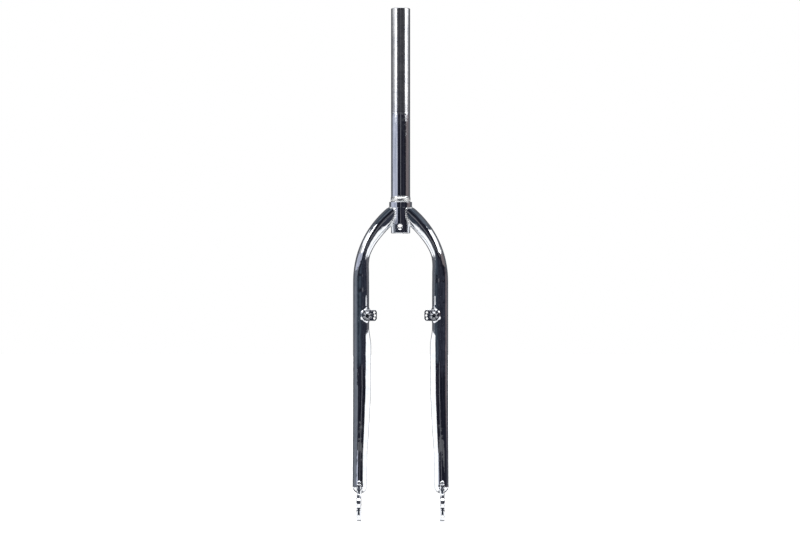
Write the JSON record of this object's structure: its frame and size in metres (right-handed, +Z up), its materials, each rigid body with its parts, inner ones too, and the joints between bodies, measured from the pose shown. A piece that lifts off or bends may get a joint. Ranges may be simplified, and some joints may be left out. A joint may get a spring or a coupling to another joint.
{
  "type": "bicycle fork",
  "caption": "Rigid welded bicycle fork with a plain threadless steerer, curved tapered blades, slotted plate dropouts and rim brake studs.",
  "frame": {"origin": "on the steerer's axis at the shoulder that the lower headset race sits on", "axes": "+Z up along the steerer, -Y to the front, the way the blades curve, and +X from the left blade to the right blade as seen in the picture"},
  "size_m": [0.1264, 0.0767, 0.6775],
  "materials": {
    "steerer_steel": "ground bare steel above, bright chrome plating on the lower half, with a freshly machined race seat",
    "blade_chrome": "bright chrome plating over drawn steel tube",
    "dropout_chrome": "bright chrome plating over stamped plate",
    "boss_chrome": "bright chrome plating over turned and stamped steel",
    "stud_chrome": "bright chrome plating over turned steel"
  },
  "bodies": {
    "root": {"steerer_tube": "steerer_steel", "left_blade": "blade_chrome", "right_blade": "blade_chrome", "left_dropout": "dropout_chrome", "right_dropout": "dropout_chrome", "left_brake_boss": "boss_chrome", "right_brake_boss": "boss_chrome", "left_spring_plate": "boss_chrome", "right_spring_plate": "boss_chrome", "left_brake_stud": "stud_chrome", "right_brake_stud": "stud_chrome"}
  },
  "joints": []
}
